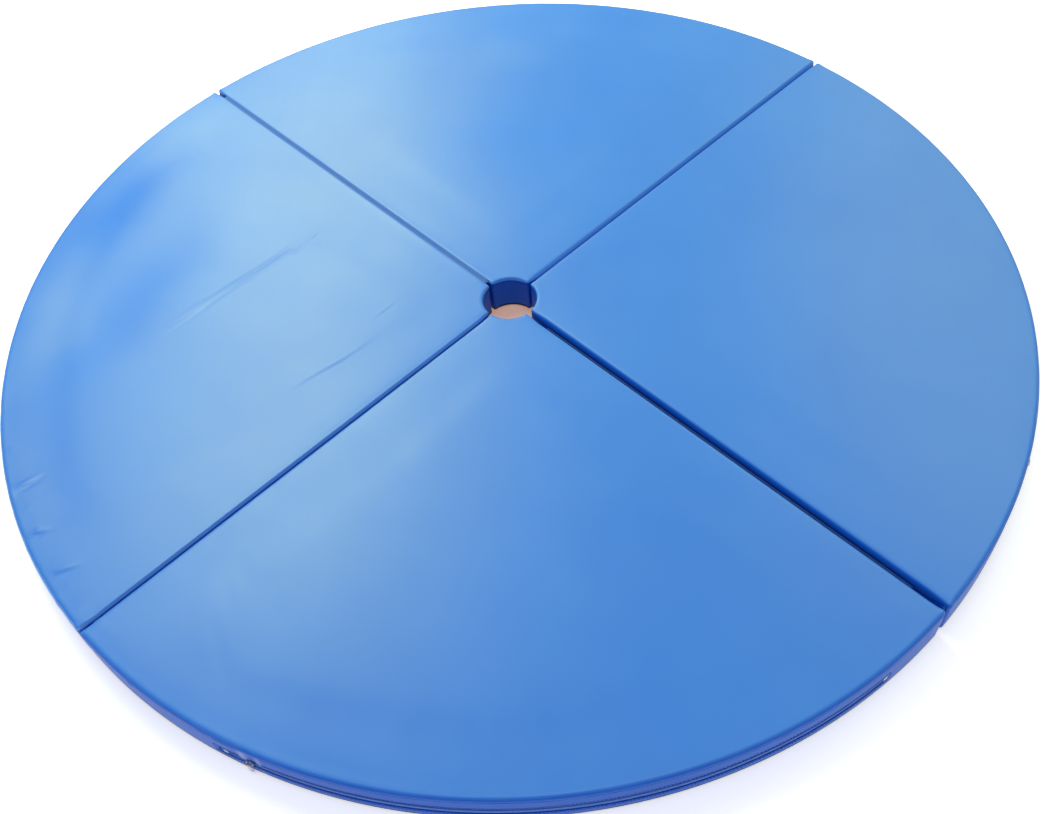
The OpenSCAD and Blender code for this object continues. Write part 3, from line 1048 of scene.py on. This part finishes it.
def foam_material():
    """Closed-cell foam with small round cells."""
    s = Shader("foam_cells")
    cells = s.cells(260.0)
    # The foam is painted darker in the middle of each cell, where the bump is lowest, as painted shade in the
    # cells' hollows
    colour = s.tones(cells, (0.0, (205, 207, 210)), (0.6, (232, 233, 235)))
    s.give(Base_Color=colour, Normal=s.bump(cells, 0.5, 0.001), Roughness=0.85)
    return s.material


def metal(name, light, deep, rough):
    """Plated zinc with faint handling marks."""
    s = Shader(name)
    s.give(
        Base_Color=s.tones(s.noise(900.0, 3.0, 0.6), (0.3, deep), (0.7, light)),
        Roughness=s.span(s.noise(2500.0, 3.0, 0.7, (1.0, 1.0, 0.2)), rough - 0.07, rough + 0.1),
        Normal=s.bump(s.noise(3000.0, 2.0, 0.5), 0.08, 0.0001),
        Metallic=1.0,
    )
    return s.material


def plastic(name, light, deep, rough):
    """Nylon with a faintly uneven face."""
    s = Shader(name)
    s.give(
        Base_Color=s.tones(s.noise(1200.0, 2.0, 0.5), (0.3, deep), (0.7, light)),
        Roughness=s.span(s.noise(800.0, 2.0, 0.5), rough - 0.05, rough + 0.08),
        Normal=s.bump(s.noise(2200.0, 2.0, 0.5), 0.1, 0.0001),
    )
    return s.material


def dress(piece, material):
    """Gives a piece its material, and returns the piece."""
    piece.data.materials.clear()
    piece.data.materials.append(material)
    return piece


# Patches where the top's gloss is stronger or weaker: x, y in metres, heading in degrees,
# half length, half width, and the change as a share of the gloss
GLOSS_CLOUDS = [
    (-0.508, 0.185, 62, 0.120, 0.065, -0.55),
    (-0.440, 0.030, 67, 0.210, 0.075, -0.45),
    (-0.560, -0.010, 88, 0.170, 0.075, 0.9),
    (-0.450, 0.330, 50, 0.110, 0.070, 0.45),
    (-0.545, -0.230, 113, 0.270, 0.070, 0.55),
    (0.010, 0.290, 10, 0.160, 0.120, -0.30),
    (0.0, 0.470, 0, 0.110, 0.060, 0.3),
]
TOP_LIGHT, TOP_DEEP, TOP_TINT = (54, 127, 233), (46, 120, 229), (0.92, 1.0, 0.22)
# The colour painted on the top where it turns down. The right and front panels' edges are painted darker, as
# painted shade; the left and rear panels' edges, which show in seams, are painted paler, as painted light in
# the shaded seams
PAINTED_EDGE_LIGHT_AND_SHADE = {
    "left": (118, 172, 238),
    "rear": (90, 158, 248),
    "right": (20, 98, 210),
    "front": (20, 98, 210),
}
VINYL_TOPS = {
    panel: vinyl("vinyl_top_" + panel, TOP_LIGHT, TOP_DEEP, 0.36, 0.5, TOP_TINT, GLOSS_CLOUDS, painted_edge_tone)
    for panel, painted_edge_tone in PAINTED_EDGE_LIGHT_AND_SHADE.items()
}
# The walls and the rim band are the same vinyl as the top, painted darker and deeper blue as painted shade on
# faces that turn away from the lamps
VINYL_SIDE_SHADED = vinyl("vinyl_side", (20, 98, 208), (13, 90, 200), 0.42, 0.2, (0.4, 0.8, 1.0))
# Painted highlights on the upright folds in the front panel's rim band beside the zip's closed end, where the
# folds catch the light
FOLDS_AT = math.degrees(seam_angle(3) + SLIDER_AT) - 360
FOLD_HIGHLIGHTS = [(FOLDS_AT + at, 2.4 * width, 0.85 * height) for at, width, height in PULL_FOLDS if height > 0]
VINYL_SIDE_FOLD_HIGHLIGHTS = painted_fold_highlights(VINYL_SIDE_SHADED, FOLD_HIGHLIGHTS, (144, 160, 226))
UNDERSIDE = dotted_underside()
FOAM = foam_material()
STRIP = woven("hinge_fabric", (52, 104, 190), (34, 78, 160), 0.75, 0.0012, 0.4)
# The zip's tape and teeth are painted paler than the rim band round them, as painted light, so that they
# don't show dark in the shade of the slot
TAPE = woven("zip_tape", (80, 140, 236), (62, 120, 220), 0.9)
COIL = plastic("zip_teeth", (74, 132, 230), (58, 112, 210), 0.35)
THREAD = woven("thread", (60, 96, 184), (36, 66, 150), 0.6, 0.0004, 0.6)
METAL = metal("zip_metal", (206, 206, 214), (176, 178, 190), 0.3)
HOOK = plastic("hook_pile", (42, 50, 84), (26, 32, 60), 0.45)
LOOP = woven("loop_pile", (52, 92, 170), (32, 64, 136), 0.95, 0.0009, 0.8)

# ---------------------------------------------------------------- building the panels
for k, panel in enumerate(PANELS):
    body = panel + "_panel"
    flat = simulated_swell(k)
    top, gathers = cover_top(k, flat)
    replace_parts(dress(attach(top, body), VINYL_TOPS[panel]), "top_skin_" + panel)
    under = cover_bottom(k)
    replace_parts(dress(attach(under, body), UNDERSIDE), "bottom_skin_" + panel)
    wall, rim = cover_walls(k, flat, gathers)
    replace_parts(dress(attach(wall, body), VINYL_SIDE_SHADED), "inner_band_" + panel)
    # The front panel's rim band has the painted fold highlights
    rim_vinyl = VINYL_SIDE_FOLD_HIGHLIGHTS if panel == "front" else VINYL_SIDE_SHADED
    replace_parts(dress(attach(rim, body), rim_vinyl), "rim_band_" + panel)
    foam = foam_block(k)
    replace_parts(dress(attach(foam, body), FOAM), "foam_core_" + panel)
    coil = zip_coil(k)
    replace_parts(dress(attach(coil, body), COIL), "zip_teeth_" + panel)
    stitches = zip_stitching(k, rim)
    dress(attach(stitches, body), THREAD)
    dress(frame["nodes"]["zip_tapes_" + panel], TAPE)
    for node in ("zip_stops_", "zip_slider_", "zip_pull_"):
        part = dress(frame["nodes"][node + panel], METAL)
        bevel = part.modifiers.new("worn edges", "BEVEL")
        bevel.width = 0.12 * MM
        bevel.segments = 2

for name, seam, top, a, b in (
    ("hinge_strip_rear_right", 1, False, "right_panel", "rear_panel"),
    ("hinge_strip_left_rear", 2, True, "rear_panel", "left_panel"),
    ("hinge_strip_front_left", 3, False, "left_panel", "front_panel"),
):
    strip = dress(hinge_strip(name, seam, top), STRIP)
    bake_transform(strip)
    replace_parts(strip, name)

for name, side, body, material, slot in (
    ("hook_strip", -1, "front_panel", HOOK, "hook"),
    ("loop_strip", 1, "right_panel", LOOP, "loop"),
):
    pile = dress(grip_face(name, side), material)
    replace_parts(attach(pile, body), name)

# ---------------------------------------------------------------- floor, light and camera
def floor_sheet(name, ring, z, shader):
    """A flat sheet with the given outline, at a height just under the mat."""
    sheet = new_object(name, [(x, y, 0) for x, y in ring], [tuple(range(len(ring)))], smooth_shading=False)
    sheet.location.z = z
    return dress(sheet, shader.material)


FLOOR = 12.0
floor_shader = Shader("floor")
floor_shader.give(Base_Color=(0.86, 0.86, 0.87, 1.0), Roughness=0.7)
floor_shader.give(Emission_Color=(1.0, 1.0, 1.0, 1.0), Emission_Strength=0.5)
floor_ring = [(-FLOOR, -FLOOR), (FLOOR, -FLOOR), (FLOOR, FLOOR), (-FLOOR, FLOOR)]
floor = floor_sheet("floor", floor_ring, -0.3 * MM, floor_shader)

# The floor seen through the pole hole is tan: a round patch of it lies under the mat
patch_shader = Shader("tan_floor")
patch_tone = patch_shader.tones(patch_shader.noise(60.0), (0.3, (226, 178, 150)), (0.7, (236, 192, 166)))
patch_shader.give(Base_Color=patch_tone, Roughness=0.6)
patch_shader.give(Emission_Color=srgb(232, 186, 160), Emission_Strength=0.35)
patch_r = 1.4 * HOLE_R
patch_turns = [math.tau * i / 64 for i in range(64)]
patch_ring = [(patch_r * math.cos(a), patch_r * math.sin(a)) for a in patch_turns]
patch = floor_sheet("tan_floor", patch_ring, -0.15 * MM, patch_shader)


def soft_light(name, place, aim, size, power, colour=(1, 1, 1)):
    """A rectangular lamp that faces a point."""
    data = bpy.data.lights.new(name, "AREA")
    data.shape = "RECTANGLE"
    data.size, data.size_y = size
    data.energy = power
    data.color = colour
    light = bpy.data.objects.new(name, data)
    light.location = place
    light.rotation_euler = (Vector(aim) - Vector(place)).to_track_quat("-Z", "Y").to_euler()
    bpy.context.scene.collection.objects.link(light)


def panel_light(name, place, size, power, colour):
    """A lamp panel that faces straight down."""
    soft_light(name, place, (place[0], place[1] + 0.001, 0), size, power, colour)


# A long panel in two halves of different colour, whose reflection lies as a bright band over the left
# panel and the left of the rear one, a weaker one for the right edge, one nearly overhead that isn't
# seen in the vinyl, and a low strip behind the mat
panel_light("ceiling_left_near", (-0.92, 1.25, 2.05), (0.9, 1.5), 46, (0.93, 1.0, 0.78))
panel_light("ceiling_left_far", (-0.92, 2.75, 2.05), (0.9, 1.5), 46, (1.0, 0.98, 0.12))
panel_light("ceiling_right", (1.35, 1.9, 2.05), (1.0, 2.8), 30, (1.0, 0.95, 0.05))
panel_light("overhead", (0.0, -0.9, 4.0), (2.5, 1.5), 38, (0.8, 0.83, 1.0))
soft_light("low_back", (0.3, 4.2, 1.2), (0, 0, 0), (5.0, 0.6), 20)

world = bpy.data.worlds.new("studio")
world.use_nodes = True
background = world.node_tree.nodes["Background"]
background.inputs["Color"].default_value = (0.88, 0.9, 1.0, 1.0)
background.inputs["Strength"].default_value = 0.36
bpy.context.scene.world = world
bpy.context.scene.view_settings.view_transform = "Standard"

camera_data = bpy.data.cameras.new("camera")
camera_data.sensor_width = 36.0
camera_data.lens = 40.35
camera = bpy.data.objects.new("camera", camera_data)
camera.location = (0.0807, -0.9500, 1.0244 + TOP)
camera.rotation_mode = "YXZ"
camera.rotation_euler = Euler((0.6513, 0.0763, -0.0433), "YXZ")
bpy.context.scene.collection.objects.link(camera)
bpy.context.scene.camera = camera
